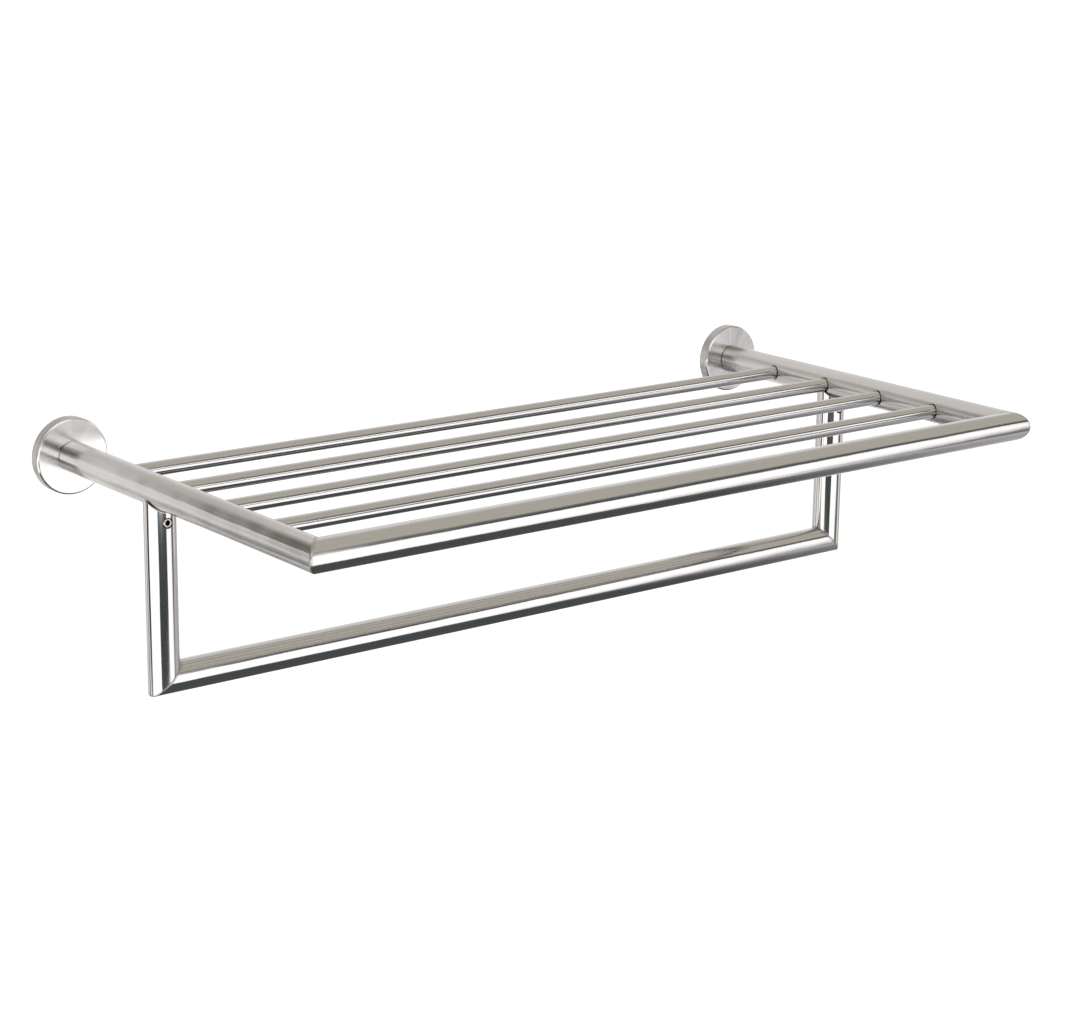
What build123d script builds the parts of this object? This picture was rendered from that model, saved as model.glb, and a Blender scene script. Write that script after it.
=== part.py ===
from build123d import *
import os

# Wall-mounted towel rack in satin stainless tube: a shelf of thin bars with a towel bar hung below it.
# Millimetres. The origin is on the wall, midway between the two flanges, at the height of the arms' axes.
# +X runs along the bars to the right, +Y goes into the wall and +Z is up.

# Frame tubes: the arms, the front bar, the legs and the towel bar share one section
tube_diameter = 20.0
tube_wall = 1.5
arm_spacing = 560.0  # between the axes of the two arms
arm_reach = 292.0  # from the wall to the axis of the front bar

# Shelf bars, let into holes drilled in the arms' inner sides
shelf_bar_diameter = 9.5
shelf_bar_wall = 1.0
shelf_bar_count = 4  # evenly spaced from the first to the last
first_shelf_bar = 66.0  # from the wall to the axis of the first bar
last_shelf_bar = 64.0  # from the axis of the last bar to the axis of the front bar
shelf_bar_entry = 6.0  # how far a bar's end goes in past the arm's side
shelf_bar_clearance = 0.12  # round a bar in its hole
shelf_bar_relief = 0.3  # between a bar and the tip of a leg's saddle below it

# Hanging rail: two legs and the towel bar
leg_reach = 118.0  # from the wall to the axes of the legs
leg_drop = 118.5  # from the arms' axes down to the axis of the towel bar
cope_gap = 0.8  # seam between a leg's saddle and the arm above it

# Spigots welded under the arms, which the legs slide over
spigot_length = 20.0  # below the underside of the arm
spigot_clearance = 0.1  # round a spigot in its leg
spigot_chamfer = 1.5

# Set screws that hold the legs to the spigots
leg_screw_diameter = 6.0
leg_screw_length = 10.0
leg_screw_drop = 7.6  # from the underside of the arm to the screw's axis
leg_screw_recess = 0.4  # end of the screw below the leg's front
leg_screw_hole_clearance = 0.3  # round the screw in the leg's wall
leg_screw_hex = 3.0  # across the flats of the socket
leg_screw_socket = 3.2  # depth of the socket
screw_chamfer = 0.5
thread_clearance = 0.05  # round a screw in its tapped hole

# Wall flanges: turned cups that cover the wall plates
flange_diameter = 50.0
flange_thickness = 8.0
flange_face = 3.0  # thickness of the front disc
flange_rim = 3.0  # thickness of the round wall
flange_edge_radius = 1.5
flange_bolt_clearance = 0.25  # round the bolt in the front disc

# Wall plates, screwed to the wall inside the flanges
plate_face_gap = 0.5  # between the plate and the flange's front disc
plate_clearance = 0.3  # between the plate's edge and the flange's rim
plate_bore = 16.0  # room for the flange bolt's head
plate_groove_depth = 1.0
plate_lip = 0.75  # edge of the plate in front of the groove
wall_screw_spacing = 30.0
wall_screw_hole = 4.5
wall_screw_head = 8.6  # diameter of the countersink at the plate's front

# Plugs in the wall ends of the arms, and the bolts that draw the flanges onto them
plug_length = 16.0
plug_clearance = 0.05
plug_chamfer = 1.0
flange_bolt_diameter = 6.0
flange_bolt_length = 14.0
flange_bolt_head = 10.0
flange_bolt_head_height = 4.0
flange_bolt_hex = 4.0
flange_bolt_socket = 2.2

# Set screws in the bottom of the flanges' rims, bearing in the plates' grooves
flange_screw_diameter = 4.0
flange_screw_recess = 0.4  # end of the screw above the rim's lowest line
flange_screw_tip = 0.5  # radius of the flat on its cone point
flange_screw_seat = 0.1  # between the point and the groove
flange_screw_hex = 2.0
flange_screw_socket = 1.6

# Worked out from the sizes above
tube_radius = tube_diameter / 2
bore_radius = tube_radius - tube_wall
arm_x = arm_spacing / 2
shelf_bar_radius = shelf_bar_diameter / 2
spigot_radius = bore_radius - spigot_clearance
leg_screw_z = -tube_radius - leg_screw_drop
flange_radius = flange_diameter / 2
recess_radius = flange_radius - flange_rim
recess_depth = flange_thickness - flange_face
plate_radius = recess_radius - plate_clearance
plate_thickness = recess_depth - plate_face_gap
flange_screw_setback = plate_thickness - plate_lip - plate_groove_depth  # from the wall to its axis
sides = {"left": -1, "right": 1}
shelf_bar_pitch = (arm_reach - last_shelf_bar - first_shelf_bar) / (shelf_bar_count - 1)
shelf_bar_reaches = [first_shelf_bar + i * shelf_bar_pitch for i in range(shelf_bar_count)]


def rod(radius, start, end):
    """A round bar from one point to another."""
    axis = Vector(end) - Vector(start)
    return extrude(Plane(start, z_dir=axis) * Circle(radius), axis.length)


def tube(outer_radius, inner_radius, start, end):
    """A round tube from one point to another."""
    return rod(outer_radius, start, end) - rod(inner_radius, start, end)


def corner_plane(corner, along, across):
    """The 45 degree cut of a welded corner, facing the tube that leaves the corner along `along`."""
    return Plane(corner, z_dir=Vector(along) - Vector(across))


def turned(points):
    """A solid turned about Z from an outline of (radius, height) points that starts and ends on the axis."""
    outline = make_face(Polyline(*[(radius, 0, height) for radius, height in points], close=True))
    return revolve(outline, Axis.Z)


def set_screw(diameter, length, tip_radius, hex_size, socket_depth):
    """A set screw along Z with its socket end at the origin, its point below and a blind hexagon socket."""
    radius = diameter / 2
    cone = radius - tip_radius
    body = turned(
        [
            (0, 0),
            (radius - screw_chamfer, 0),
            (radius, -screw_chamfer),
            (radius, cone - length),
            (tip_radius, -length),
            (0, -length),
        ]
    )
    hexagon = Plane.XY * RegularPolygon(hex_size / 2, 6, major_radius=False)
    return body - extrude(hexagon, -socket_depth)


def arm(side):
    """One arm: wall end square, front end mitred, with blind holes for the shelf bars in its inner side."""
    x = side * arm_x
    corner = (x, -arm_reach, 0)
    blank = tube(
        tube_radius, bore_radius, (x, -flange_thickness, 0), (x, -arm_reach - tube_radius, 0)
    )
    mitred = split(blank, corner_plane(corner, (0, 1, 0), (-side, 0, 0)), Keep.TOP)
    holes = [
        rod(shelf_bar_radius + shelf_bar_clearance, (x, -reach, 0), (0, -reach, 0))
        for reach in shelf_bar_reaches
    ]
    return mitred - holes


def mitred_bar(y, z, along):
    """A bar between the two sides, mitred at both ends to tubes that leave its corners along `along`."""
    end = arm_x + tube_radius
    bar = tube(tube_radius, bore_radius, (-end, y, z), (end, y, z))
    for side in sides.values():
        cut = corner_plane((side * arm_x, y, z), along, (-side, 0, 0))
        bar = split(bar, cut, Keep.BOTTOM)
    return bar


def shelf_bar(reach):
    """One thin shelf bar, with its ends a little way inside the arms."""
    end = arm_x - tube_radius + shelf_bar_entry
    inner_radius = shelf_bar_radius - shelf_bar_wall
    return tube(shelf_bar_radius, inner_radius, (-end, -reach, 0), (end, -reach, 0))


def leg(side):
    """One leg: coped to the arm above, mitred to the towel bar below, drilled in front for its screw."""
    x = side * arm_x
    corner = (x, -leg_reach, -leg_drop)
    blank = tube(
        tube_radius, bore_radius, (x, -leg_reach, -leg_drop - tube_radius), (x, -leg_reach, 0)
    )
    mitred = split(blank, corner_plane(corner, (0, 0, 1), (-side, 0, 0)), Keep.TOP)
    saddle = rod(
        tube_radius + cope_gap,
        (x, -leg_reach - tube_diameter, 0),
        (x, -leg_reach + tube_diameter, 0),
    )
    screw_hole = rod(
        leg_screw_diameter / 2 + leg_screw_hole_clearance,
        (x, -leg_reach, leg_screw_z),
        (x, -leg_reach - tube_diameter, leg_screw_z),
    )
    reliefs = [
        rod(shelf_bar_radius + shelf_bar_relief, (x, -reach, 0), (0, -reach, 0))
        for reach in shelf_bar_reaches
    ]
    return mitred - saddle - screw_hole - reliefs


def leg_spigot(side):
    """The stub under an arm that a leg slides over, with a tapped hole through it from the front."""
    x = side * arm_x
    foot = -tube_radius - spigot_length
    outline = turned(
        [
            (0, 0),
            (spigot_radius, 0),
            (spigot_radius, foot + spigot_chamfer),
            (spigot_radius - spigot_chamfer, foot),
            (0, foot),
        ]
    )
    stub = Pos(x, -leg_reach, 0) * outline
    saddle = rod(
        tube_radius, (x, -leg_reach - tube_diameter, 0), (x, -leg_reach + tube_diameter, 0)
    )
    tapped_hole = rod(
        leg_screw_diameter / 2 + thread_clearance,
        (x, -leg_reach - tube_diameter, leg_screw_z),
        (x, -leg_reach + tube_diameter, leg_screw_z),
    )
    return stub - saddle - tapped_hole


def leg_screw(side):
    """The set screw in the front of a leg, its socket facing forward."""
    tip_radius = leg_screw_diameter / 2 - screw_chamfer
    screw = set_screw(
        leg_screw_diameter, leg_screw_length, tip_radius, leg_screw_hex, leg_screw_socket
    )
    front = -leg_reach - tube_radius + leg_screw_recess
    return Pos(side * arm_x, front, leg_screw_z) * Rot(90, 0, 0) * screw


def flange(side):
    """A turned cup, open to the wall, with a bolt hole in its face and a tapped hole under its rim."""
    bolt_hole = flange_bolt_diameter / 2 + flange_bolt_clearance
    disc = Cylinder(flange_radius, flange_thickness, align=(Align.CENTER, Align.CENTER, Align.MIN))
    disc = fillet(disc.edges().group_by(Axis.Z)[-1], flange_edge_radius)
    disc -= Cylinder(recess_radius, recess_depth, align=(Align.CENTER, Align.CENTER, Align.MIN))
    disc -= Cylinder(bolt_hole, 2 * flange_thickness)
    cup = Pos(side * arm_x, 0, 0) * Rot(90, 0, 0) * disc
    tapped_hole = rod(
        flange_screw_diameter / 2 + thread_clearance,
        (side * arm_x, -flange_screw_setback, -recess_radius + flange_rim),
        (side * arm_x, -flange_screw_setback, -flange_diameter),
    )
    return cup - tapped_hole


def wall_plate(side):
    """The disc under a flange: a large bore, two countersunk wall screw holes and a groove round its edge."""
    groove_bottom = plate_radius - plate_groove_depth
    disc = turned(
        [
            (0, 0),
            (plate_radius, 0),
            (plate_radius, flange_screw_setback - plate_groove_depth),
            (groove_bottom, flange_screw_setback),
            (plate_radius, flange_screw_setback + plate_groove_depth),
            (plate_radius, plate_thickness),
            (0, plate_thickness),
        ]
    )
    disc -= Cylinder(plate_bore / 2, 3 * plate_thickness)
    sink_depth = (wall_screw_head - wall_screw_hole) / 2
    sink = turned(
        [
            (0, 0),
            (wall_screw_hole / 2, 0),
            (wall_screw_hole / 2, plate_thickness - sink_depth),
            (wall_screw_head / 2, plate_thickness),
            (0, plate_thickness),
        ]
    )
    for y in (-wall_screw_spacing / 2, wall_screw_spacing / 2):
        disc -= Pos(0, y, 0) * sink
    return Pos(side * arm_x, 0, 0) * Rot(90, 0, 0) * disc


def arm_plug(side):
    """The threaded slug in an arm's wall end, flush with it."""
    radius = bore_radius - plug_clearance
    bolt_hole = flange_bolt_diameter / 2 + thread_clearance
    slug = turned(
        [
            (0, 0),
            (radius, 0),
            (radius, plug_length - plug_chamfer),
            (radius - plug_chamfer, plug_length),
            (0, plug_length),
        ]
    )
    slug -= Cylinder(bolt_hole, 3 * plug_length)
    return Pos(side * arm_x, -flange_thickness, 0) * Rot(90, 0, 0) * slug


def flange_bolt(side):
    """The low-head bolt that goes through a flange from behind into the arm's plug."""
    radius = flange_bolt_diameter / 2
    head_radius = flange_bolt_head / 2
    bolt = turned(
        [
            (0, -flange_bolt_head_height),
            (head_radius - screw_chamfer, -flange_bolt_head_height),
            (head_radius, screw_chamfer - flange_bolt_head_height),
            (head_radius, 0),
            (radius, 0),
            (radius, flange_bolt_length - screw_chamfer),
            (radius - screw_chamfer, flange_bolt_length),
            (0, flange_bolt_length),
        ]
    )
    hexagon = Plane((0, 0, -flange_bolt_head_height)) * RegularPolygon(
        flange_bolt_hex / 2, 6, major_radius=False
    )
    bolt -= extrude(hexagon, flange_bolt_socket)
    return Pos(side * arm_x, -recess_depth, 0) * Rot(90, 0, 0) * bolt


def flange_screw(side):
    """The cone-point set screw under a flange's rim, its point in the wall plate's groove."""
    end = flange_radius - flange_screw_recess
    groove_bottom = plate_radius - plate_groove_depth
    length = end - groove_bottom - flange_screw_tip - flange_screw_seat
    screw = set_screw(
        flange_screw_diameter, length, flange_screw_tip, flange_screw_hex, flange_screw_socket
    )
    return Pos(side * arm_x, -flange_screw_setback, -end) * Rot(180, 0, 0) * screw


pieces = {
    "front_bar": mitred_bar(-arm_reach, 0, (0, 1, 0)),
    "towel_bar": mitred_bar(-leg_reach, -leg_drop, (0, 0, 1)),
}
for number, reach in enumerate(shelf_bar_reaches, start=1):
    pieces[f"shelf_bar_{number}"] = shelf_bar(reach)
for name, side in sides.items():
    pieces[f"{name}_arm"] = arm(side)
    pieces[f"{name}_leg"] = leg(side)
    pieces[f"{name}_leg_spigot"] = leg_spigot(side)
    pieces[f"{name}_leg_screw"] = leg_screw(side)
    pieces[f"{name}_flange"] = flange(side)
    pieces[f"{name}_wall_plate"] = wall_plate(side)
    pieces[f"{name}_arm_plug"] = arm_plug(side)
    pieces[f"{name}_flange_bolt"] = flange_bolt(side)
    pieces[f"{name}_flange_screw"] = flange_screw(side)

os.makedirs("parts", exist_ok=True)
for name, piece in pieces.items():
    export_step(piece, f"parts/{name}.step")
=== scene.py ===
import math

import bmesh
import bpy
import numpy as np
from mathutils import Matrix, Vector


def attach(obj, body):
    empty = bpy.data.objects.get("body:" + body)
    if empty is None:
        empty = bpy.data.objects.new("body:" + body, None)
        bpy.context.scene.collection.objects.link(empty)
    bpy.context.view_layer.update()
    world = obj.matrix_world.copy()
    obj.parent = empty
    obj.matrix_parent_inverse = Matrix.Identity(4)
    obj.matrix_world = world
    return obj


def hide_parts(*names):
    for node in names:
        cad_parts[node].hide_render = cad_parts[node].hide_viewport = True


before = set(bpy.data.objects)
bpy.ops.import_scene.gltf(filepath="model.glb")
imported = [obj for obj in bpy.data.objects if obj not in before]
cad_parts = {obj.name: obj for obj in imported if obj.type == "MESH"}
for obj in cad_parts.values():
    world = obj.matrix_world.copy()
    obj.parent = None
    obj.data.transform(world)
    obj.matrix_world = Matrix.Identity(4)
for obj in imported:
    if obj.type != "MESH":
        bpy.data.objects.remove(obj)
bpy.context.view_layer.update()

mm = 0.001
scene = bpy.context.scene
sideSigns = {"left": -1, "right": 1}
print("frame loaded:", len(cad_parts), "nodes")


# Small helpers that every piece uses

nearSurface = 4e-6  # metres that a point may lie off the surface it belongs to
nearEdge = 1e-6  # the same where two surfaces of a flange meet
tiny = 1e-9  # keeps a division away from zero
squareOn = 0.9  # cosine: a face turned further than this isn't part of the round wall
sharpEdge = math.radians(32)
farFromSeam = 60.0  # mm, for tubes with no welded seam


def hexToLinear(code):
    channels = [int(code[i:i + 2], 16) / 255 for i in (1, 3, 5)]
    return tuple(c / 12.92 if c <= 0.04045 else ((c + 0.055) / 1.055) ** 2.4 for c in channels) + (1.0,)


def addNode(tree, kind, inputs=None, links=None, **settings):
    node = tree.nodes.new(kind)
    for key, value in settings.items():
        setattr(node, key, value)
    for key, value in (inputs or {}).items():
        node.inputs[key].default_value = value
    for key, source in (links or {}).items():
        tree.links.new(source, node.inputs[key])
    return node


def emptyMaterial(name):
    material = bpy.data.materials.new(name)
    material.use_nodes = True
    material.node_tree.nodes.clear()
    return material, material.node_tree


def meshObject(name, points, faces):
    mesh = bpy.data.meshes.new(name)
    mesh.from_pydata([tuple(p) for p in points], [], faces)
    mesh.update()
    thing = bpy.data.objects.new(name, mesh)
    scene.collection.objects.link(thing)
    return thing


def meshPoints(mesh):
    points = np.zeros(len(mesh.vertices) * 3)
    mesh.vertices.foreach_get("co", points)
    return points.reshape(-1, 3)


def ringFaces(rings, sides, closed=True):
    # four-cornered faces from each ring of points to the next, and from the last to the first if closed
    faces = []
    for i in range(rings if closed else rings - 1):
        here = i * sides
        there = (i + 1) % rings * sides
        for k in range(sides):
            after = (k + 1) % sides
            faces.append((here + k, here + after, there + after, there + k))
    return faces


def drill(thing, start, end, radius, segments=72):
    # cuts a round hole through a piece, from one point to another
    axis = end - start
    spin = axis.to_track_quat("Z", "Y").to_matrix().to_4x4()
    place = Matrix.Translation((start + end) / 2) @ spin
    work = bmesh.new()
    bmesh.ops.create_cone(work, cap_ends=True, segments=segments, radius1=radius, radius2=radius,
                          depth=axis.length, matrix=place)
    cutterMesh = bpy.data.meshes.new("cutter")
    work.to_mesh(cutterMesh)
    work.free()
    cutter = bpy.data.objects.new("cutter", cutterMesh)
    scene.collection.objects.link(cutter)
    cut = thing.modifiers.new("hole", "BOOLEAN")
    cut.operation = "DIFFERENCE"
    cut.solver = "EXACT"
    cut.object = cutter
    bpy.context.view_layer.update()
    shaped = thing.evaluated_get(bpy.context.evaluated_depsgraph_get())
    drilled = bpy.data.meshes.new_from_object(shaped)
    thing.modifiers.clear()
    old = thing.data
    thing.data = drilled
    drilled.name = thing.name
    bpy.data.meshes.remove(old)
    bpy.data.objects.remove(cutter)


def setNormals(thing, rule=None):
    # smooth shading everywhere, with exact normals where a rule knows the true surface
    mesh = thing.data
    mesh.polygons.foreach_set("use_smooth", np.ones(len(mesh.polygons), bool))
    mesh.set_sharp_from_angle(angle=sharpEdge)
    mesh.update()
    index = np.zeros(len(mesh.loops), np.int32)
    mesh.loops.foreach_get("vertex_index", index)
    normals = np.zeros(len(mesh.loops) * 3, np.float32)
    mesh.corner_normals.foreach_get("vector", normals)
    normals = normals.reshape(-1, 3).astype(float)
    faceNormals = np.zeros(len(mesh.polygons) * 3)
    mesh.polygons.foreach_get("normal", faceNormals)
    sizes = np.zeros(len(mesh.polygons), np.int32)
    mesh.polygons.foreach_get("loop_total", sizes)
    flat = np.repeat(faceNormals.reshape(-1, 3), sizes, axis=0)
    if rule:
        normals = rule(meshPoints(mesh)[index], normals, flat)
    mesh.normals_split_custom_set(normals.tolist())


def fromAxis(points, origin, axis):
    # each point's distance from an axis, and the direction straight out from it
    offset = points - origin
    offset -= np.outer(offset @ axis, axis)
    distance = np.linalg.norm(offset, axis=1)
    return distance, offset / np.maximum(distance, tiny)[:, None]


def roundRule(origin, axis, *radii):
    # on a round wall of one of these radii the normal points straight out from the axis, or in to it
    def rule(points, normals, flat):
        distance, out = fromAxis(points, origin, axis)
        facing = np.sum(out * flat, axis=1)
        for radius in radii:
            there = (np.abs(distance - radius) < nearSurface) & (np.abs(facing) > squareOn)
            normals[there] = out[there] * np.sign(facing[there])[:, None]
        return normals
    return rule


def markSeams(thing, seams):
    # stores every point's distance from the nearest welded seam, in millimetres
    mesh = thing.data
    points = meshPoints(mesh)
    nearest = np.full(len(points), farFromSeam)
    for corner, normal in seams:
        normal = np.array(normal) / np.linalg.norm(normal)
        nearest = np.minimum(nearest, np.abs((points - np.array(corner)) @ normal) / mm)
    layer = mesh.attributes.new("seamDistance", "FLOAT", "POINT")
    layer.data.foreach_set("value", nearest.astype(np.float32))


def coat(thing, material):
    thing.data.materials.clear()
    thing.data.materials.append(material)


def dress(thing, material, body, slot, *nodes):
    coat(thing, material)
    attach(thing, body)
    if nodes:
        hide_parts(*nodes)


# Parts that several materials share

fineNoise = {"Scale": 1.0, "Detail": 2.0, "Roughness": 0.6}
softNoise = {"Scale": 1.0, "Detail": 1.0, "Roughness": 0.4}
grainNoise = {"Scale": 1.0, "Detail": 3.0, "Roughness": 0.6}
noiseSpan = {"From Min": 0.3, "From Max": 0.7}  # most of a noise's values lie between these
quarterTurn = 0.25  # spreads reflections along a tube, and outward on a turned disc


def offsetFrom(tree, place, centre, keep):
    # a point's offset from a centre, in the kept directions only
    shifted = addNode(tree, "ShaderNodeVectorMath", {1: centre}, {0: place}, operation="SUBTRACT")
    flat = addNode(tree, "ShaderNodeVectorMath", {1: keep}, {0: shifted.outputs["Vector"]},
                   operation="MULTIPLY")
    return flat.outputs["Vector"]


def roughnessFrom(tree, noise, finish):
    # spreads the finish's roughness over a noise
    low = finish["roughness"] - finish["roughnessSpread"] / 2
    spread = {"To Min": low, "To Max": low + finish["roughnessSpread"]}
    rough = addNode(tree, "ShaderNodeMapRange", {**noiseSpan, **spread}, {"Value": noise})
    return rough.outputs["Result"]


def steelSurface(tree, colour, rough, bump, along=None, anisotropy=0.0):
    # bare metal, its reflections stretched where the surface has lines along or round an axis
    inputs = {"Metallic": 1.0}
    links = {"Base Color": colour.outputs["Result"], "Roughness": rough, "Normal": bump.outputs["Normal"]}
    if along:
        tangent = addNode(tree, "ShaderNodeTangent", direction_type="RADIAL", axis=along)
        links["Tangent"] = tangent.outputs["Tangent"]
        inputs["Anisotropic"] = anisotropy
        inputs["Anisotropic Rotation"] = quarterTurn
    steel = addNode(tree, "ShaderNodeBsdfPrincipled", inputs, links)
    addNode(tree, "ShaderNodeOutputMaterial", links={"Surface": steel.outputs["BSDF"]})


# Stainless tube, satin polished lengthwise on a belt: long soft bands of reflection with fine lines in them,
# and painted shade in the joints

satinTube = {
    "light": "#d3d0cf",
    "dark": "#c6c3c2",
    "weld": "#b9b5b1",
    "creaseShade": "#2c2b2a",  # painted shade in the joints, where the gaps fall dark
    "creaseShadeCore": 0.5,  # share of the painted shade line's width that is fully dark
    "shadePatchMm": 4.0,  # the painted shade is broken into patches of this size
    "shadePatchNoise": (0.3, 0.55),
    "shadePatchKept": (0.25, 1.0),  # the least and most of the painted shade that is kept
    "roughness": 0.12,
    "roughnessSpread": 0.025,
    "anisotropy": 0.6,
    "lineWidthMm": 0.7,  # belt grit leaves lines near 0.05 mm, drawn coarser so that they show
    "lineLengthMm": 110,
    "lineHeightMm": 0.0016,
    "waveWidthMm": 16,  # the drawn tube isn't perfectly straight, so its reflections waver
    "waveLengthMm": 34,
    "waveHeightMm": 0.3,
    "weldWidthMm": 1.4,  # half of the ground band along a welded corner
    "weldCore": 0.6,  # share of that band that is fully ground
}


def creaseShadeShare(tree, place, creaseShade):
    # 1 in the painted shade line of a joint and 0 on the open surface, the same at both ends of the rack
    folded = addNode(tree, "ShaderNodeVectorMath", links={0: place}, operation="ABSOLUTE").outputs["Vector"]
    offset = offsetFrom(tree, folded, creaseShade["centre"], creaseShade["keep"])
    reach = addNode(tree, "ShaderNodeVectorMath", links={0: offset}, operation="LENGTH")
    gap = addNode(tree, "ShaderNodeMath", {1: creaseShade["radius"]}, {0: reach.outputs["Value"]},
                  operation="SUBTRACT")
    away = addNode(tree, "ShaderNodeMath", links={0: gap.outputs["Value"]}, operation="ABSOLUTE")
    fade = {"From Min": creaseShade["width"], "From Max": creaseShade["width"] * satinTube["creaseShadeCore"]}
    line = addNode(tree, "ShaderNodeMapRange", fade, {"Value": away.outputs["Value"]},
                   interpolation_type="SMOOTHSTEP")
    # painted shade with a side shows only where the point lies past a plane, the rest all round the tube
    facing = addNode(tree, "ShaderNodeVectorMath", {1: creaseShade.get("side", (0, 0, 0))}, {0: folded},
                     operation="DOT_PRODUCT")
    there = addNode(tree, "ShaderNodeMath", {1: creaseShade.get("past", -1.0)}, {0: facing.outputs["Value"]},
                    operation="GREATER_THAN")
    share = addNode(tree, "ShaderNodeMath", links={0: line.outputs["Result"], 1: there.outputs["Value"]},
                    operation="MULTIPLY")
    return share.outputs["Value"]


def satinStainless(name, along, changes=None, creaseShades=()):
    finish = dict(satinTube, **(changes or {}))
    material, tree = emptyMaterial(name)
    place = addNode(tree, "ShaderNodeTexCoord").outputs["Object"]
    noises = {}
    for kind, settings in (("line", fineNoise), ("wave", softNoise)):
        scale = [1 / (finish[kind + "WidthMm"] * mm)] * 3
        scale["XYZ".index(along)] = 1 / (finish[kind + "LengthMm"] * mm)
        stretched = addNode(tree, "ShaderNodeMapping", {"Scale": scale}, {"Vector": place})
        noise = addNode(tree, "ShaderNodeTexNoise", settings, {"Vector": stretched.outputs["Vector"]})
        noises[kind] = noise.outputs["Fac"]
    waveBump = addNode(tree, "ShaderNodeBump", {"Strength": 1.0, "Distance": finish["waveHeightMm"] * mm},
                       {"Height": noises["wave"]})
    lineBump = addNode(tree, "ShaderNodeBump", {"Strength": 1.0, "Distance": finish["lineHeightMm"] * mm},
                       {"Height": noises["line"], "Normal": waveBump.outputs["Normal"]})

    seam = addNode(tree, "ShaderNodeAttribute", attribute_name="seamDistance")
    fade = {"From Min": finish["weldWidthMm"], "From Max": finish["weldWidthMm"] * finish["weldCore"]}
    band = addNode(tree, "ShaderNodeMapRange", fade, {"Value": seam.outputs["Fac"]},
                   interpolation_type="SMOOTHSTEP").outputs["Result"]
    tones = {"A": hexToLinear(finish["dark"]), "B": hexToLinear(finish["light"])}
    tone = addNode(tree, "ShaderNodeMix", tones, {"Factor": noises["line"]}, data_type="RGBA")
    colour = addNode(tree, "ShaderNodeMix", {"B": hexToLinear(finish["weld"])},
                     {"Factor": band, "A": tone.outputs["Result"]}, data_type="RGBA")

    shadePatches = addNode(tree, "ShaderNodeTexNoise", {"Scale": 1 / (finish["shadePatchMm"] * mm), "Detail": 1.0},
                    {"Vector": place})
    fromMin, fromMax = finish["shadePatchNoise"]
    toMin, toMax = finish["shadePatchKept"]
    shadeKept = addNode(tree, "ShaderNodeMapRange",
                   {"From Min": fromMin, "From Max": fromMax, "To Min": toMin, "To Max": toMax},
                   {"Value": shadePatches.outputs["Fac"]})
    # painted shade in the joints' lines, mixed into the tone in patches
    for creaseShade in creaseShades:
        line = creaseShadeShare(tree, place, creaseShade)
        share = addNode(tree, "ShaderNodeMath", links={0: line, 1: shadeKept.outputs["Result"]},
                        operation="MULTIPLY")
        colour = addNode(tree, "ShaderNodeMix", {"B": hexToLinear(finish["creaseShade"])},
                         {"Factor": share.outputs["Value"], "A": colour.outputs["Result"]}, data_type="RGBA")

    # the ground band is twice as rough as the tube
    rough = roughnessFrom(tree, noises["line"], finish)
    groundRough = addNode(tree, "ShaderNodeMath", links={0: band, 1: rough, 2: rough},
                          operation="MULTIPLY_ADD")
    steelSurface(tree, colour, groundRough.outputs["Value"], lineBump, along, finish["anisotropy"])
    return material


# Stainless disc faced on a lathe: fine rings that throw the light into a bow tie round the centre, with a
# painted bow tie of streaks in its tone

turnedDisc = {
    "light": "#efedec",
    "dark": {"left": "#d6d3d2", "right": "#a9a6a5"},  # painted reflection: the left disc's copy is lighter, the right's darker
    "rim": "#b5b2b0",  # turned but not faced, so greyer
    "rimDepthMm": (7.2, 6.6),  # where the face's edge gives way to the rim, from the wall
    "roughness": 0.21,
    "roughnessSpread": 0.05,
    "anisotropy": 0.92,
    "paintedFanNoise": {"Scale": 1.2, "Detail": 4.0, "Roughness": 0.55},  # painted reflection: bright and dark streaks fanning out from the centre
    "paintedFanPlace": (2.3, 0.7, 5.1),  # the part of the noise that the painted streaks are taken from
    "paintedFanShare": 0.9,  # how much of the tone comes from the painted streaks, the rest from the rings
    "ringWidthMm": 0.4,  # the tool's feed is near 0.1 mm, drawn coarser so that it shows
    "ringHeightMm": 0.0002,
}


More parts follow.
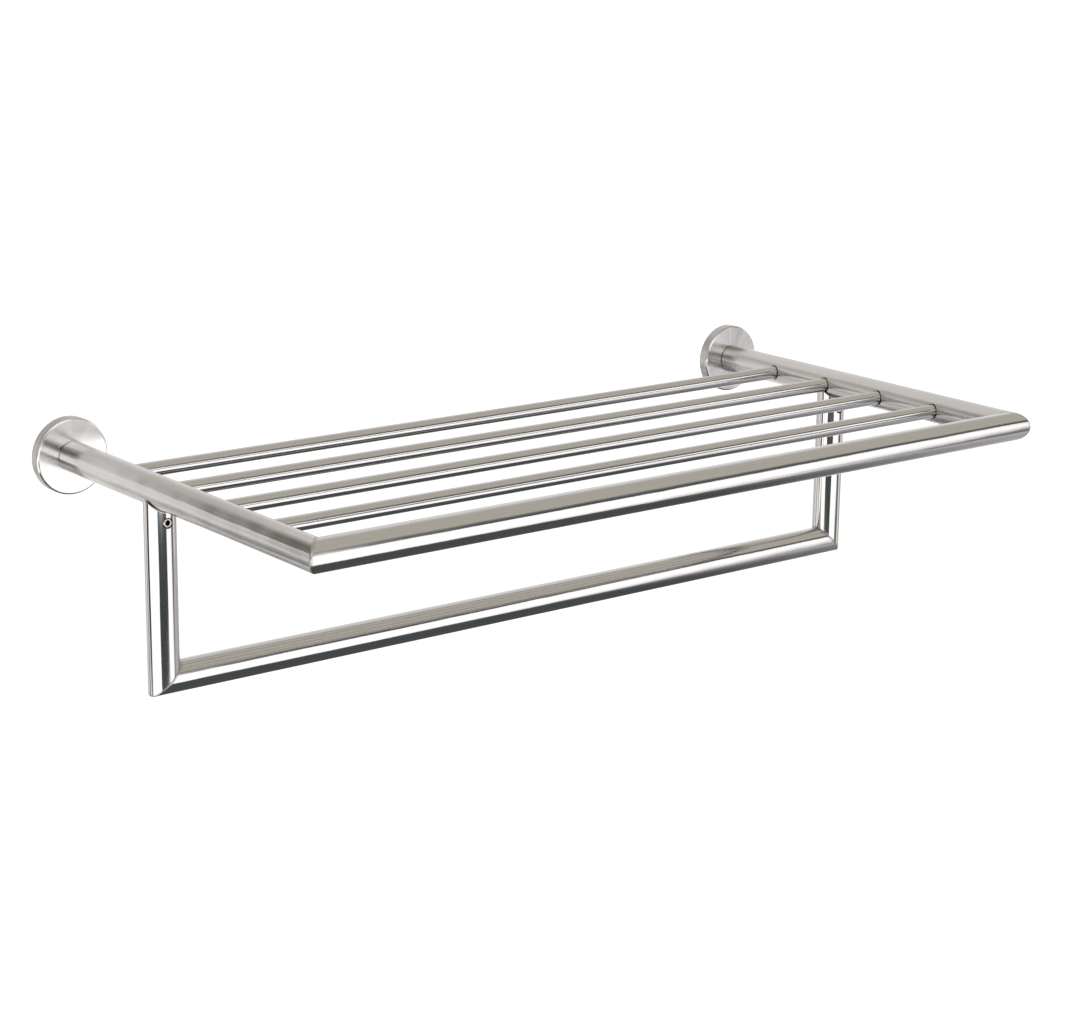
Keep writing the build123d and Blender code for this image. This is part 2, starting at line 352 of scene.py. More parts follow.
def turnedStainless(name, centre, side):
    finish = turnedDisc
    material, tree = emptyMaterial(name)
    place = addNode(tree, "ShaderNodeTexCoord").outputs["Object"]
    offset = offsetFrom(tree, place, centre, (1, 0, 1))
    reach = addNode(tree, "ShaderNodeVectorMath", links={0: offset}, operation="LENGTH")
    depth = addNode(tree, "ShaderNodeSeparateXYZ", links={"Vector": place}).outputs["Y"]
    along = addNode(tree, "ShaderNodeMath", links={0: reach.outputs["Value"], 1: depth}, operation="SUBTRACT")
    ringPlace = addNode(tree, "ShaderNodeMath", {1: 1 / (finish["ringWidthMm"] * mm)},
                        {0: along.outputs["Value"]}, operation="MULTIPLY")
    rings = addNode(tree, "ShaderNodeTexNoise", fineNoise, {"W": ringPlace.outputs["Value"]},
                    noise_dimensions="1D")
    ringBump = addNode(tree, "ShaderNodeBump", {"Strength": 1.0, "Distance": finish["ringHeightMm"] * mm},
                       {"Height": rings.outputs["Fac"]})

    # painted reflection: the tone fans out from the centre in streaks, as a bow tie of light would
    outward = addNode(tree, "ShaderNodeVectorMath", links={0: offset}, operation="NORMALIZE")
    paintedFanPlace = addNode(tree, "ShaderNodeVectorMath", {1: finish["paintedFanPlace"]}, {0: outward.outputs["Vector"]},
                       operation="ADD")
    paintedFan = addNode(tree, "ShaderNodeTexNoise", finish["paintedFanNoise"], {"Vector": paintedFanPlace.outputs["Vector"]})
    paintedStreaks = addNode(tree, "ShaderNodeMapRange", noiseSpan, {"Value": paintedFan.outputs["Fac"]})
    ringsAndPaintedFan = addNode(tree, "ShaderNodeMix", {"Factor": finish["paintedFanShare"]},
                    {"A": rings.outputs["Fac"], "B": paintedStreaks.outputs["Result"]}, data_type="FLOAT")
    tones = {"A": hexToLinear(finish["dark"][side]), "B": hexToLinear(finish["light"])}
    tone = addNode(tree, "ShaderNodeMix", tones, {"Factor": ringsAndPaintedFan.outputs["Result"]}, data_type="RGBA")

    rimStart, rimEnd = (-d * mm for d in finish["rimDepthMm"])
    onRim = addNode(tree, "ShaderNodeMapRange", {"From Min": rimStart, "From Max": rimEnd}, {"Value": depth})
    colour = addNode(tree, "ShaderNodeMix", {"B": hexToLinear(finish["rim"])},
                     {"Factor": onRim.outputs["Result"], "A": tone.outputs["Result"]}, data_type="RGBA")
    rough = roughnessFrom(tree, ringsAndPaintedFan.outputs["Result"], finish)
    steelSurface(tree, colour, rough, ringBump, "Y", finish["anisotropy"])
    return material


# Machined steel, an even dull grey on what the tubes and flanges hide, and rolled screws with small glints
# and painted shade in their sockets

machinedParts = {
    "light": "#b9b6b0",
    "dark": "#a3a09a",
    "roughness": 0.34,
    "roughnessSpread": 0.08,
    "grainMm": 0.6,
    "grainHeightMm": 0.004,
}
rolledScrews = {
    "light": "#c9c5bd",
    "dark": "#aeaaa1",
    # painted shade inside the hex socket
    "socket": "#171615",
    "roughness": 0.24,
    "roughnessSpread": 0.08,
    "grainMm": 0.5,
    "grainHeightMm": 0.002,
}


def machinedSteel(name, finish, shadeLayer=None):
    material, tree = emptyMaterial(name)
    place = addNode(tree, "ShaderNodeTexCoord").outputs["Object"]
    spread = addNode(tree, "ShaderNodeMapping", {"Scale": [1 / (finish["grainMm"] * mm)] * 3},
                     {"Vector": place})
    grain = addNode(tree, "ShaderNodeTexNoise", grainNoise, {"Vector": spread.outputs["Vector"]})
    bump = addNode(tree, "ShaderNodeBump", {"Strength": 1.0, "Distance": finish["grainHeightMm"] * mm},
                   {"Height": grain.outputs["Fac"]})
    tones = {"A": hexToLinear(finish["dark"]), "B": hexToLinear(finish["light"])}
    tone = addNode(tree, "ShaderNodeMix", tones, {"Factor": grain.outputs["Fac"]}, data_type="RGBA")
    # painted shade mixed in where the layer says, deep in the screw's socket
    if shadeLayer:
        shade = addNode(tree, "ShaderNodeAttribute", attribute_name=shadeLayer)
        tone = addNode(tree, "ShaderNodeMix", {"B": hexToLinear(finish["socket"])},
                       {"Factor": shade.outputs["Fac"], "A": tone.outputs["Result"]}, data_type="RGBA")
    steelSurface(tree, tone, roughnessFrom(tree, grain.outputs["Fac"], finish), bump)
    return material


hiddenSteel = machinedSteel("plain steel, machined", machinedParts)
screwSteel = machinedSteel("bright screw steel, rolled", rolledScrews)
shadedSocketSteel = machinedSteel("bright screw steel, rolled, with a blackened socket", rolledScrews,
                            "socketShade")
print("materials made")


# Tubes, as rings of points between two cut ends

tubeMesh = {
    "sides": 160,
    "middleRings": 8,
    "seamSteps": (0, 0.1, 0.22, 0.38, 0.6, 0.9, 1.5, 3.0),  # mm from a cut end
    "seamDip": (0.16, 0.1, 0.055, 0.022, 0.006, 0, 0, 0),  # how far the skin falls away there, mm
    "plainDip": (0.2, 0.11, 0.05, 0.015, 0, 0, 0, 0),  # the broken edge of a square cut
}
seamDip = tubeMesh["seamDip"]
plainDip = tubeMesh["plainDip"]


def squareCut(offset):
    return np.zeros(len(offset))


def mitreCut(inward):
    # 45 degrees, shorter on the side that the next tube leaves from
    inward = np.array(inward, float)
    return lambda offset: offset @ inward


def tubePiece(name, start, end, radius, wall, startCut, endCut, startDip, endDip):
    start = np.array(start) * mm
    end = np.array(end) * mm
    length = np.linalg.norm(end - start)
    axis = (end - start) / length
    across = np.array([0, 0, 1.0]) if abs(axis[2]) < 0.5 else np.array([0, 1.0, 0])
    other = np.cross(axis, across)
    turn = np.linspace(0, 2 * math.pi, tubeMesh["sides"], endpoint=False)
    out = np.outer(np.cos(turn), across) + np.outer(np.sin(turn), other)
    steps = np.array(tubeMesh["seamSteps"]) * mm
    rings = []
    for step, dip in zip(steps, startDip):
        skin = out * (radius - dip) * mm
        rings.append(start + skin + np.outer(startCut(skin) + step, axis))
    lastRings = []
    for step, dip in zip(steps, endDip):
        skin = out * (radius - dip) * mm
        lastRings.append(start + skin + np.outer(length - endCut(skin) - step, axis))
    for share in np.linspace(0, 1, tubeMesh["middleRings"] + 2)[1:-1]:
        rings.append(rings[len(steps) - 1] * (1 - share) + lastRings[-1] * share)
    rings += lastRings[::-1]
    bore = out * (radius - wall) * mm
    rings.append(start + bore + np.outer(length - endCut(bore), axis))
    rings.append(start + bore + np.outer(startCut(bore), axis))
    tube = meshObject(name, np.concatenate(rings), ringFaces(len(rings), tubeMesh["sides"]))
    return tube, roundRule(start, axis, radius * mm, (radius - wall) * mm)


# Frame tube: arms, front bar, legs and towel bar

frameTube = {"radius": 10.0, "wall": 1.5}
armLine = {"x": 280.0, "wallEnd": -8.0, "front": -292.0}
barEnd = {"radius": 4.75, "wall": 1.0, "reaches": (66.0, 120.0, 174.0, 228.0), "entry": 6.0, "holeRoom": 0.3}
rail = {"y": -118.0, "z": -118.5, "copeGap": 0.8, "barRelief": 0.3, "screwZ": -17.6, "screwHole": 3.3}
cutterReach = 20  # from a tube's axis to well outside it
jointShadeLine = {"foot": 0.8, "hole": 0.35, "bar": 0.45, "screw": 0.3}  # half widths of the painted shade lines in the joints, mm

armX = armLine["x"] * mm
barHole = (barEnd["radius"] + barEnd["holeRoom"]) * mm
# where the painted shade lines of the joints lie
footCrease = {
    "centre": (0, -armLine["wallEnd"] * mm, 0),
    "keep": (0, 1, 0),
    "radius": 0,
    "width": jointShadeLine["foot"] * mm,
}
holeCreases = [{
    "centre": (0, reach * mm, 0),
    "keep": (0, 1, 1),
    "radius": barHole,
    "width": jointShadeLine["hole"] * mm,
    "side": (-1, 0, 0),  # only the arm's inner side has holes
    "past": -armX,
} for reach in barEnd["reaches"]]
barCrease = {
    "centre": (armX, 0, 0),
    "keep": (1, 0, 1),
    "radius": frameTube["radius"] * mm,
    "width": jointShadeLine["bar"] * mm,
}
screwCrease = {
    "centre": (armX, 0, -rail["screwZ"] * mm),
    "keep": (1, 0, 1),
    "radius": rail["screwHole"] * mm,
    "width": jointShadeLine["screw"] * mm,
    "side": (0, 1, 0),  # only the leg's front has a hole
    "past": -rail["y"] * mm,
}

# the legs are the brightest, with crisp upright stripes
legFinish = {
    "roughness": 0.075,
    "roughnessSpread": 0.012,
    "lineHeightMm": 0.0008,
    "waveHeightMm": 0.6,
    "waveLengthMm": 80,
}
# the arms are duller, with wide soft bands
armFinish = {
    "roughness": 0.18,
    "anisotropy": 0.7,
    "light": "#d8d5d4",
    "dark": "#bfbcbb",
    "waveHeightMm": 0.6,
}
dullFinish = dict(armFinish, roughness=0.28, anisotropy=0.4)
armPolish = {"left": armFinish, "right": dullFinish}  # the right arm was polished less
# the shelf bars have an even polish with no grain to speak of
thinFinish = {
    "roughness": 0.13,
    "anisotropy": 0.0,
    "waveWidthMm": 8,
    "waveHeightMm": 0.02,
    "lineWidthMm": 1.0,
    "lineHeightMm": 0.0006,
}
barSteel = satinStainless("satin stainless, polished along the bar", "X")
legSteel = satinStainless("satin stainless, polished along the leg", "Z", legFinish, [screwCrease])
armSteel = {side: satinStainless("satin stainless, polished along the " + side + " arm", "Y", armPolish[side],
                                 [footCrease, *holeCreases]) for side in sideSigns}
thinSteel = satinStainless("satin stainless, polished along the thin bar", "X", thinFinish, [barCrease])


def mitredBar(name, y, z, neighbour, node):
    # runs between the two sides and meets a tube that leaves each corner along neighbour
    ends = [(-armLine["x"], y, z), (armLine["x"], y, z)]
    bar, rule = tubePiece(name, ends[0], ends[1], frameTube["radius"], frameTube["wall"],
                          mitreCut(neighbour), mitreCut(neighbour), seamDip, seamDip)
    setNormals(bar, rule)
    seams = [(Vector(end) * mm, Vector((-sign, 0, 0)) - Vector(neighbour))
             for end, sign in zip(ends, sideSigns.values())]
    markSeams(bar, seams)
    dress(bar, barSteel, "rack", "satin_stainless", node)


def saddleCut(sign):
    # follows the underside of the arm, and keeps clear of the shelf bar beside it
    def cut(offset):
        arch = np.sqrt(((frameTube["radius"] + rail["copeGap"]) * mm) ** 2 - offset[:, 0] ** 2)
        room = (barEnd["radius"] + rail["barRelief"]) * mm
        for reach in barEnd["reaches"]:
            gap = room ** 2 - (offset[:, 1] + (rail["y"] + reach) * mm) ** 2
            inner = (-sign * offset[:, 0] > 0) & (gap > 0)
            arch = np.where(inner, np.maximum(arch, np.sqrt(np.maximum(gap, 0))), arch)
        return arch
    return cut


mitredBar("frontBar", armLine["front"], 0.0, (0, 1, 0), "front_bar")
mitredBar("towelBar", rail["y"], rail["z"], (0, 0, 1), "towel_bar")

for side, sign in sideSigns.items():
    x = sign * armLine["x"]
    inward = Vector((-sign, 0, 0))
    corner = (x, armLine["front"], 0)
    arm, rule = tubePiece(side + "Arm", (x, armLine["wallEnd"], 0), corner, frameTube["radius"],
                          frameTube["wall"], squareCut, mitreCut(inward), plainDip, seamDip)
    for reach in barEnd["reaches"]:
        axisPoint = Vector((x, -reach, 0)) * mm
        outside = Vector((x - sign * cutterReach, -reach, 0)) * mm
        drill(arm, axisPoint, outside, barHole)
    setNormals(arm, rule)
    markSeams(arm, [(Vector(corner) * mm, Vector((0, 1, 0)) - inward)])
    dress(arm, armSteel[side], "rack", "satin_stainless", side + "_arm")

for side, sign in sideSigns.items():
    x = sign * armLine["x"]
    inward = Vector((-sign, 0, 0))
    corner = (x, rail["y"], rail["z"])
    leg, rule = tubePiece(side + "Leg", (x, rail["y"], 0), corner, frameTube["radius"],
                          frameTube["wall"], saddleCut(sign), mitreCut(inward), plainDip, seamDip)
    axisPoint = Vector((x, rail["y"], rail["screwZ"])) * mm
    outside = Vector((x, rail["y"] - cutterReach, rail["screwZ"])) * mm
    drill(leg, axisPoint, outside, rail["screwHole"] * mm)
    setNormals(leg, rule)
    markSeams(leg, [(Vector(corner) * mm, Vector((0, 0, 1)) - inward)])
    dress(leg, legSteel, "rack", "satin_stainless", side + "_leg")
print("frame tubes made")


# Shelf bars, their ends inside the arms' holes

barTip = armLine["x"] - frameTube["radius"] + barEnd["entry"]
for number, reach in enumerate(barEnd["reaches"], start=1):
    bar, rule = tubePiece(f"shelfBar{number}", (-barTip, -reach, 0), (barTip, -reach, 0), barEnd["radius"],
                          barEnd["wall"], squareCut, squareCut, plainDip, plainDip)
    setNormals(bar, rule)
    markSeams(bar, [])
    dress(bar, thinSteel, "rack", "satin_stainless", f"shelf_bar_{number}")
print("shelf bars made")


# Wall flanges: cups with a faced front, a rounded edge and a tapped hole under the rim

flangeCup = {
    "radius": 25.0,
    "thickness": 8.0,
    "face": 3.0,
    "rim": 3.0,
    "edge": 1.5,  # radius of the rounded front edge
    "edgeSteps": 14,
    "boltHole": 3.25,
    "faceRing": 16.0,  # one more ring of points, so that the face's long triangles stay even
    "screwHole": 2.05,
    "screwSetback": 2.75,
    "holeSides": 48,
    "cutBelow": 5.0,  # how far the hole's cutter stands out under the rim
    "cutAbove": 3.0,  # and above it
    "backBreak": 0.25,
    "sides": 288,
}


def flangePiece(side, sign):
    cup = flangeCup
    centreX = sign * armLine["x"]
    back = cup["thickness"] - cup["face"]
    inner = cup["radius"] - cup["rim"]
    outline = [(cup["boltHole"], back), (inner, back), (inner, 0), (cup["radius"] - cup["backBreak"], 0),
               (cup["radius"], cup["backBreak"])]
    for step in range(cup["edgeSteps"] + 1):
        turn = math.pi / 2 * step / cup["edgeSteps"]
        outline.append((cup["radius"] - cup["edge"] * (1 - math.cos(turn)),
                        cup["thickness"] - cup["edge"] * (1 - math.sin(turn))))
    outline += [(cup["faceRing"], cup["thickness"]), (cup["boltHole"], cup["thickness"])]
    points = []
    for radius, height in outline:
        for k in range(cup["sides"]):
            turn = 2 * math.pi * k / cup["sides"]
            x = centreX + radius * math.cos(turn)
            points.append((x * mm, -height * mm, radius * math.sin(turn) * mm))
    flange = meshObject(side + "Flange", points, ringFaces(len(outline), cup["sides"]))
    low = Vector((centreX, -cup["screwSetback"], -cup["radius"] - cup["cutBelow"])) * mm
    climb = Vector((0, 0, cup["cutBelow"] + cup["rim"] + cup["cutAbove"])) * mm
    drill(flange, low, low + climb, cup["screwHole"] * mm, cup["holeSides"])

    centre = np.array([centreX * mm, 0, 0])
    axis = np.array([0, 1.0, 0])
    ridge = (cup["radius"] - cup["edge"]) * mm
    shoulder = -(cup["thickness"] - cup["edge"]) * mm
    rimRule = roundRule(centre, axis, cup["radius"] * mm)

    def rule(points, normals, flat):
        distance, out = fromAxis(points, centre, axis)
        depth = points[:, 1]
        rounded = (distance > ridge - nearEdge) & (depth < shoulder + nearEdge)
        bend = out * (distance - ridge)[:, None] + axis * (depth - shoulder)[:, None]
        bend /= np.maximum(np.linalg.norm(bend, axis=1), tiny)[:, None]
        normals[rounded] = bend[rounded]
        onFace = (depth < -cup["thickness"] * mm + nearEdge) & (distance < ridge + nearEdge)
        normals[onFace] = -axis
        return rimRule(points, normals, flat)

    setNormals(flange, rule)
    steel = turnedStainless("turned stainless, " + side + " flange", tuple(centre), side)
    dress(flange, steel, "rack", "turned_stainless", side + "_flange")


for side, sign in sideSigns.items():
    flangePiece(side, sign)
print("flanges made")


# Leg screws: socket set screws with a rolled thread

setScrew = {
    "radius": 3.0,
    "length": 10.0,
    "recess": 0.4,
    "faceRadius": 2.5,
    "pitch": 1.0,
    "threadDepth": 0.5,
    "threadSteps": 8,  # rings of points for each turn of the thread
    "flats": 3.0,
    "mouth": 1.85,
    "mouthDepth": 0.18,
    "mouthShade": 0.8,
    "socketShadeDepth": 0.5,  # painted shade fills the socket from here down
    "socketDepth": 3.2,
    "drillPoint": 0.5,  # depth of the drill's point under the socket
    "drillTip": 0.1,  # its share of the socket's width at the bottom
    "cupRadius": 1.6,
    "cupDepth": 0.7,
    "cupTip": 0.2,
    "sides": 72,
}


def legScrew(side, sign):
    cut = setScrew
    turn = np.linspace(0, 2 * math.pi, cut["sides"], endpoint=False)
    hexagon = cut["flats"] / 2 / np.cos((turn % (math.pi / 3)) - math.pi / 6)
    whole = np.ones(cut["sides"])
    # every ring has its depth from the front face, its radii and how much painted shade it has
    rings = [(cut["socketDepth"] + cut["drillPoint"], hexagon * cut["drillTip"], 1.0),
             (cut["socketDepth"], hexagon, 1.0),
             (cut["socketShadeDepth"], hexagon, 1.0),
             (cut["mouthDepth"], hexagon, cut["mouthShade"]),
             (0.0, whole * cut["mouth"], 0.0),
             (0.0, whole * cut["faceRadius"], 0.0)]
    bodyStart = cut["radius"] - cut["faceRadius"]
    bodyEnd = cut["length"] - bodyStart
    for depth in np.arange(bodyStart, bodyEnd, cut["pitch"] / cut["threadSteps"]):
        runOut = min(1, (depth - bodyStart) / cut["pitch"], (bodyEnd - depth) / cut["pitch"])
        phase = (depth / cut["pitch"] - turn / (2 * math.pi)) % 1
        rings.append((depth, cut["radius"] - cut["threadDepth"] * runOut * (1 - np.abs(2 * phase - 1)), 0.0))
    rings += [(cut["length"], whole * cut["faceRadius"], 0.0),
              (cut["length"], whole * cut["cupRadius"], 0.0),
              (cut["length"] - cut["cupDepth"], whole * cut["cupTip"], 0.0)]

    x = sign * armLine["x"]
    front = rail["y"] - frameTube["radius"] + cut["recess"]
    points = [np.stack([x + radii * np.cos(turn), whole * (front + depth),
                        rail["screwZ"] + radii * np.sin(turn)], axis=1) * mm for depth, radii, _ in rings]
    sides = cut["sides"]
    faces = [tuple(range(sides)), tuple((len(rings) - 1) * sides + k for k in reversed(range(sides)))]
    faces += [(a, d, c, b) for a, b, c, d in ringFaces(len(rings), sides, closed=False)]
    screw = meshObject(side + "LegScrew", np.concatenate(points), faces)
    shade = screw.data.attributes.new("socketShade", "FLOAT", "POINT")
    shade.data.foreach_set("value", np.repeat([s for _, _, s in rings], sides).astype(np.float32))
    setNormals(screw)
    dress(screw, shadedSocketSteel, side + "_leg_screw", "screw_steel", side + "_leg_screw")


for side, sign in sideSigns.items():
    legScrew(side, sign)
print("leg screws made")


# CAD nodes that keep their shape

for side in sideSigns:
    for part in ("leg_spigot", "arm_plug", "flange_bolt", "wall_plate"):
        coat(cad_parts[f"{side}_{part}"], hiddenSteel)
    coat(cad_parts[f"{side}_flange_screw"], screwSteel)
print("hidden steel coated")


# Studio: pale floor far below, white surroundings, softboxes and dark flags that only the metal sees

studio = {
    "floorZ": -1.25,
    "floorReach": 30,
    "floorColour": "#f4f4f4",
    "floorLift": 0.52,
    "horizon": "#ffffff",
    "behind": "#fdfbfa",
    "overhead": "#cfccc0",
    "climb": (0.2, 0.5),  # from the horizon's white to the tone above, as the sine of the height
    "rear": (0.35, 0.75),  # from the tone overhead to the one behind the rack
    "white": "#ffffff",
    "dark": "#565b5d",
    "warmDark": "#5e5b52",
    "grey": "#b9b6b0",
    "pale": "#d3d3d7",
    "edgeGrey": "#e2e0df",
    "edgeShade": "#c7c5c4",
    "shade": "#a3a4a9",
    "softbox": 1.75,
}


def fadeShare(tree, place, fade):
    # 0 to 1 between two distances, measured along a direction or round a centre
    if "round" in fade:
        offset = offsetFrom(tree, place, fade["round"], fade["keep"])
        reach = addNode(tree, "ShaderNodeVectorMath", links={0: offset}, operation="LENGTH")
    else:
        reach = addNode(tree, "ShaderNodeVectorMath", {1: fade["toward"]}, {0: place},
                        operation="DOT_PRODUCT")
    share = addNode(tree, "ShaderNodeMapRange", {"From Min": fade["from"], "From Max": fade["to"]},
                    {"Value": reach.outputs["Value"]}, interpolation_type="SMOOTHSTEP")
    return share.outputs["Result"]


def studioCard(name, corners, colour=studio["white"], strength=1.0, fades=(), blend=None):
    # a flat panel that reflections alone see, with soft edges and a second tone where they are asked for
    card = meshObject(name, corners, [tuple(range(len(corners)))])
    material, tree = emptyMaterial(name)
    place = addNode(tree, "ShaderNodeTexCoord").outputs["Object"]
    tint = {}
    if blend:
        tone = addNode(tree, "ShaderNodeMix", {"A": hexToLinear(colour), "B": hexToLinear(blend["colour"])},
                       {"Factor": fadeShare(tree, place, blend)}, data_type="RGBA")
        tint = {"Color": tone.outputs["Result"]}
    glow = addNode(tree, "ShaderNodeEmission", {"Color": hexToLinear(colour), "Strength": strength}, tint)
    surface = glow.outputs["Emission"]
    clear = addNode(tree, "ShaderNodeBsdfTransparent")
    for fade in fades:
        share = fadeShare(tree, place, fade)
        mixed = addNode(tree, "ShaderNodeMixShader", links={0: share, 1: clear.outputs["BSDF"], 2: surface})
        surface = mixed.outputs["Shader"]
    addNode(tree, "ShaderNodeOutputMaterial", links={"Surface": surface})
    card.data.materials.append(material)
    card.visible_camera = False
    card.visible_diffuse = False
    card.visible_shadow = False


def levelCorners(xSpan, ySpan, z):
    # a panel that lies flat
    (left, right), (near, far) = xSpan, ySpan
    return [(left, near, z), (right, near, z), (right, far, z), (left, far, z)]


def uprightCorners(left, right, heights, rightHeights=None):
    # a standing panel between two points of the plan, from its lower edge to its upper one
    low, high = heights
    rightLow, rightHigh = rightHeights or heights
    return [(*left, low), (*right, rightLow), (*right, rightHigh), (*left, high)]


# floor paint: a plain white ground with no edge in sight, lifted where it is looked at or mirrored
floorSpan = (-studio["floorReach"], studio["floorReach"])
floor = meshObject("floor", levelCorners(floorSpan, floorSpan, studio["floorZ"]), [(0, 1, 2, 3)])
floorPaint, tree = emptyMaterial("pale floor paint")
paths = addNode(tree, "ShaderNodeLightPath")
seen = paths.outputs["Is Camera Ray"]
for kind in ("Is Glossy Ray", "Is Transmission Ray"):
    seen = addNode(tree, "ShaderNodeMath", links={0: seen, 1: paths.outputs[kind]},
                   operation="MAXIMUM").outputs["Value"]
lift = addNode(tree, "ShaderNodeMath", {1: studio["floorLift"]}, {0: seen}, operation="MULTIPLY")
paint = addNode(tree, "ShaderNodeBsdfDiffuse", {"Color": hexToLinear(studio["floorColour"])})
glow = addNode(tree, "ShaderNodeEmission", {"Color": hexToLinear(studio["floorColour"])},
               {"Strength": lift.outputs["Value"]})
both = addNode(tree, "ShaderNodeAddShader", links={0: paint.outputs["BSDF"], 1: glow.outputs["Emission"]})
addNode(tree, "ShaderNodeOutputMaterial", links={"Surface": both.outputs["Shader"]})
floor.data.materials.append(floorPaint)

# white all round, a little greyer overhead
world = bpy.data.worlds.new("white studio")
scene.world = world
world.use_nodes = True
tree = world.node_tree
tree.nodes.clear()
place = addNode(tree, "ShaderNodeTexCoord")
split = addNode(tree, "ShaderNodeSeparateXYZ", links={"Vector": place.outputs["Generated"]})
shares = {}
for name, axis in (("climb", "Z"), ("rear", "Y")):
    start, end = studio[name]
    share = addNode(tree, "ShaderNodeMapRange", {"From Min": start, "From Max": end},
                    {"Value": split.outputs[axis]}, interpolation_type="SMOOTHSTEP")
    shares[name] = share.outputs["Result"]
tones = {"A": hexToLinear(studio["overhead"]), "B": hexToLinear(studio["behind"])}
ceiling = addNode(tree, "ShaderNodeMix", tones, {"Factor": shares["rear"]}, data_type="RGBA")
sky = addNode(tree, "ShaderNodeMix", {"A": hexToLinear(studio["horizon"])},
              {"Factor": shares["climb"], "B": ceiling.outputs["Result"]}, data_type="RGBA")
background = addNode(tree, "ShaderNodeBackground", {"Strength": 1.0}, {"Color": sky.outputs["Result"]})
addNode(tree, "ShaderNodeOutputWorld", links={"Surface": background.outputs["Background"]})

# the front softbox stands aslant in the plan, and its upper edge climbs to the right
frontPlan = {"start": (-0.08, -1.25), "slope": -0.188}
frontOutline = [(0.05, -0.95), (0.8, -0.98), (1.9, -1.02), (1.92, 0.0), (1.95, 0.84), (1.0, 0.375),
                (0.05, 0.248)]


def frontPoint(x, z):
    startX, startY = frontPlan["start"]
    return (x, startY + frontPlan["slope"] * (x - startX), z)


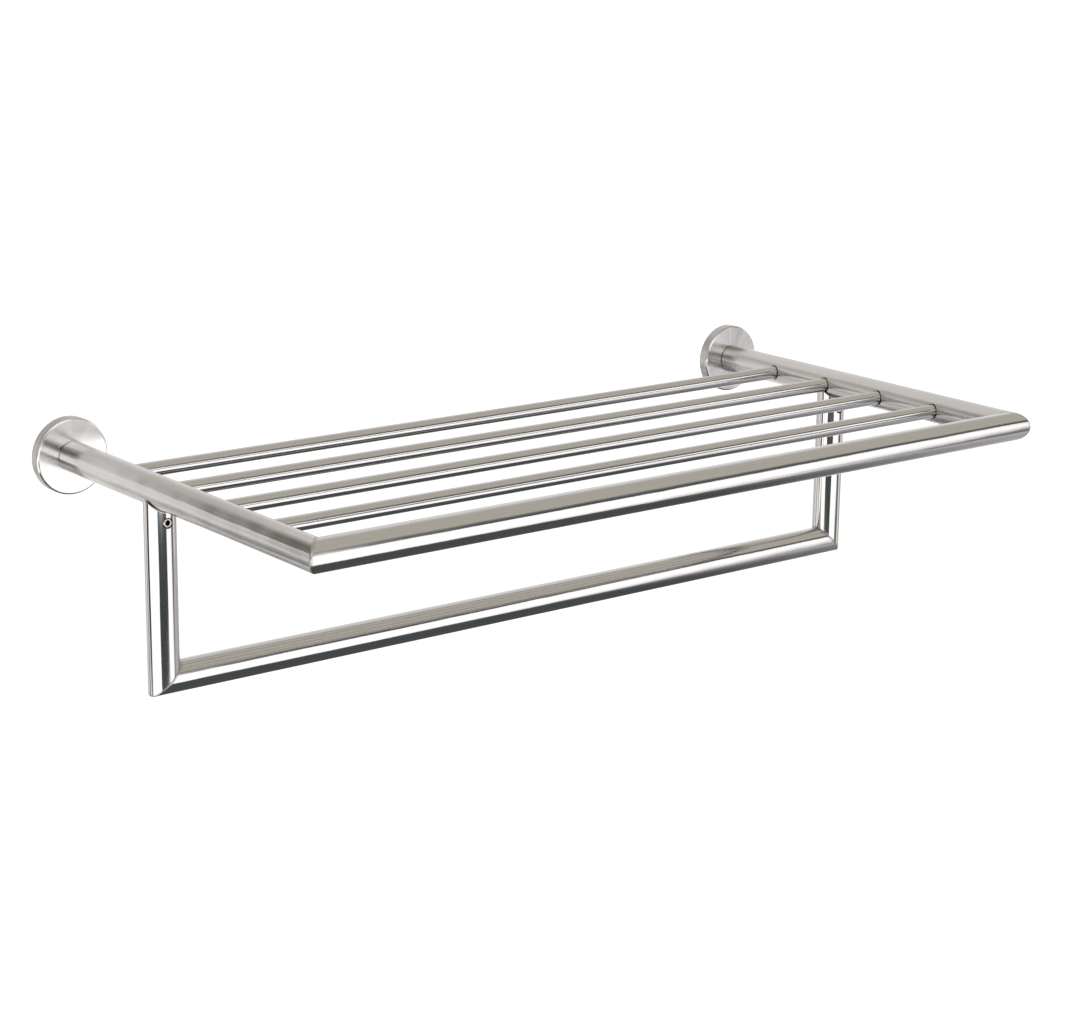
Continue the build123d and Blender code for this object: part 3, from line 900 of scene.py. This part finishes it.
studioCards = {
    # in front of the rack: the white band along the bars, and the dark above it
    "frontSoftbox": {
        "corners": [frontPoint(x, z) for x, z in frontOutline],
        "strength": studio["softbox"],
        "blend": {"toward": (1, 0, -0.8), "from": 1.35, "to": 2.55, "colour": studio["shade"]},
    },
    "frontTopFlag": {
        "corners": uprightCorners((0.45, -1.371), (3.4, -1.93), (0.289, 1.29), (0.6, 2.3)),
        "colour": studio["dark"],
        "fades": [{"toward": (-0.36, 0, 1.0), "from": 0.92, "to": 0.3}],
    },
    # left of the rack, for the left sides of arms and legs
    "leftSoftbox": {
        "corners": uprightCorners((-1.0, -0.85), (-1.0, 0.21), (-0.7, 0.3)),
        "strength": studio["softbox"],
        "blend": {"toward": (0, 0, 1), "from": -0.17, "to": -0.02, "colour": studio["shade"]},
    },
    "leftEdgeFlag": {
        "corners": uprightCorners((-1.0, 0.22), (-1.0, 0.56), (-0.46, 0.3)),
        "colour": studio["dark"],
        "strength": 0.75,
        "fades": [{"toward": (0, 0, 1), "from": -0.46, "to": -0.38}],
    },
    # round the camera, mostly for the flanges' faces and what they throw on to the arms' feet
    "cameraFlag": {
        "corners": uprightCorners((-1.02, -0.84), (0.05, -1.319), (-0.5, -0.25)),
        "colour": studio["dark"],
        "strength": 0.75,
        "fades": [{"toward": (0, 0, 1), "from": -0.5, "to": -0.46}],
    },
    "cameraSoftbox": {
        "corners": uprightCorners((-1.02, -0.84), (0.05, -1.319), (-0.25, 0.13)),
        "strength": studio["softbox"],
    },
    "cameraTopFlag": {
        "corners": uprightCorners((-1.05, -0.82), (-0.08, -1.26), (0.12, 0.8)),
        "colour": studio["dark"],
        "strength": 0.2,
        "fades": [{"toward": (0, 0, -1), "from": -0.8, "to": -0.46}],
    },
    "cameraHighSoftbox": {
        "corners": uprightCorners((-1.2, -0.86), (0.45, -1.41), (0.5, 1.4), (0.28, 1.4)),
        "strength": 1.4,
    },
    # right of the rack and below it: dark edges, and the dark undersides of the bars
    "rightEdgeFlag": {
        "corners": uprightCorners((1.78, -1.59), (2.5, -1.0), (-1.2, -0.1)),
        "colour": studio["grey"],
        "strength": 0.4,
    },
    "tableFlag": {
        "corners": levelCorners((-1.4, 1.7), (-1.0, 0.5), -0.6),
        "colour": studio["dark"],
        "fades": [{"toward": (0, 1, 0), "from": -0.95, "to": -0.85},
                  {"toward": (0, -1, 0), "from": -0.45, "to": -0.28}],
        "blend": {"toward": (1, 0, 0), "from": 0.5, "to": 1.1, "colour": studio["pale"]},
    },
    # behind the rack on the left
    "backLeftSoftbox": {
        "corners": uprightCorners((-1.32, 1.2), (-0.5, 1.2), (-0.4, 0.33)),
        "strength": 1.15,
        "fades": [{"toward": (1, 0, 0), "from": -1.3, "to": -1.1},
                  {"toward": (0, 0, 1), "from": -0.38, "to": -0.12},
                  {"toward": (-1, 0, 0), "from": 0.5, "to": 0.75}],
    },
    "backLeftGrey": {
        "corners": uprightCorners((-2.4, 1.21), (-1.08, 1.21), (-0.4, 0.33)),
        "colour": studio["grey"],
        "strength": 1.5,
        "fades": [{"toward": (-1, 0, 0), "from": 1.1, "to": 1.28},
                  {"toward": (0, 0, 1), "from": -0.4, "to": -0.2}],
    },
    # low behind and on the right: grey that keeps the tubes' outer edges from melting into the white
    "backLowGrey": {
        "corners": uprightCorners((-1.0, 2.4), (1.6, 2.4), (-1.2, 0.1)),
        "colour": studio["edgeGrey"],
    },
    "rightLowGrey": {
        "corners": uprightCorners((2.6, -0.3), (2.6, 2.4), (-1.2, 0.1)),
        "colour": studio["edgeShade"],
    },
    "backFloorGrey": {
        "corners": levelCorners((-0.65, 0.6), (1.2, 2.0), -1.2),
        "colour": studio["edgeShade"],
        "fades": [{"toward": (0, -1, 0), "from": -2.0, "to": -1.7}],
    },
    # close behind the rack, and low behind its left end
    "backUpperFlag": {
        "corners": uprightCorners((-1.5, 0.5), (0.2, 0.5), (0.0, 0.9)),
        "colour": studio["warmDark"],
        "fades": [{"round": (-0.28, 0.5, 0), "keep": (1, 0, 1), "from": 0.3, "to": 0.58},
                  {"toward": (0.39, 0, 0.92), "from": -0.137, "to": -0.12},
                  {"toward": (-1, 0, 0), "from": 0.1, "to": 0.55}],
    },
    "backGreyCard": {
        "corners": uprightCorners((-0.5, 0.49), (0.75, 0.49), (0.0, 0.62)),
        "colour": studio["grey"],
        "strength": 1.35,
        "fades": [{"toward": (0, 0, 1), "from": 0.05, "to": 0.46},
                  {"toward": (0, 0, -1), "from": -0.62, "to": -0.5},
                  {"toward": (-1, 0, -2), "from": -1.08, "to": -0.9},
                  {"toward": (1, 0, 0), "from": -0.5, "to": -0.2}],
    },
    "backLowerFlag": {
        "corners": uprightCorners((-1.55, 1.5), (-0.65, 1.5), (-1.24, -0.4)),
        "colour": studio["dark"],
        "strength": 1.9,
        "fades": [{"toward": (-0.6, 0, -1), "from": 1.2, "to": 1.55}],
    },
}
for name, settings in studioCards.items():
    studioCard(name, **settings)

# one wide lamp from above, which the metal itself doesn't see
overheadLamp = {"size": 2.4, "watts": 18, "place": (-0.4, -0.9, 2.6), "aim": (0, -0.15, 0)}
lampData = bpy.data.lights.new("overheadSoftbox", "AREA")
lampData.shape = "RECTANGLE"
lampData.size = overheadLamp["size"]
lampData.size_y = overheadLamp["size"]
lampData.energy = overheadLamp["watts"]
lamp = bpy.data.objects.new("overheadSoftbox", lampData)
lamp.location = overheadLamp["place"]
aim = Vector(overheadLamp["aim"]) - lamp.location
lamp.rotation_euler = aim.to_track_quat("-Z", "Y").to_euler()
lamp.visible_camera = False
lamp.visible_glossy = False
scene.collection.objects.link(lamp)
print("studio set")


# Camera at the photograph's viewpoint

view = {
    "place": (-1.011489, -1.433665, 0.383262),
    "yaw": 37.853,
    "pitch": 14.8,
    "roll": 0.702,
    "lens": 84.946,
    "sensor": 36,
    "clipStart": 0.01,
}
yaw, pitch, roll = (math.radians(view[key]) for key in ("yaw", "pitch", "roll"))
forward = Vector((math.sin(yaw) * math.cos(pitch), math.cos(yaw) * math.cos(pitch), -math.sin(pitch)))
level = Vector((math.cos(yaw), -math.sin(yaw), 0))
top = level.cross(forward)
right = math.cos(roll) * level + math.sin(roll) * top
above = math.cos(roll) * top - math.sin(roll) * level
cameraData = bpy.data.cameras.new("camera")
cameraData.sensor_fit = "HORIZONTAL"
cameraData.sensor_width = view["sensor"]
cameraData.lens = view["lens"]
cameraData.clip_start = view["clipStart"]
camera = bpy.data.objects.new("camera", cameraData)
facing = Matrix((right, above, -forward)).transposed().to_4x4()
camera.matrix_world = Matrix.Translation(view["place"]) @ facing
scene.collection.objects.link(camera)
scene.camera = camera
scene.view_settings.view_transform = "Standard"
print("camera set")
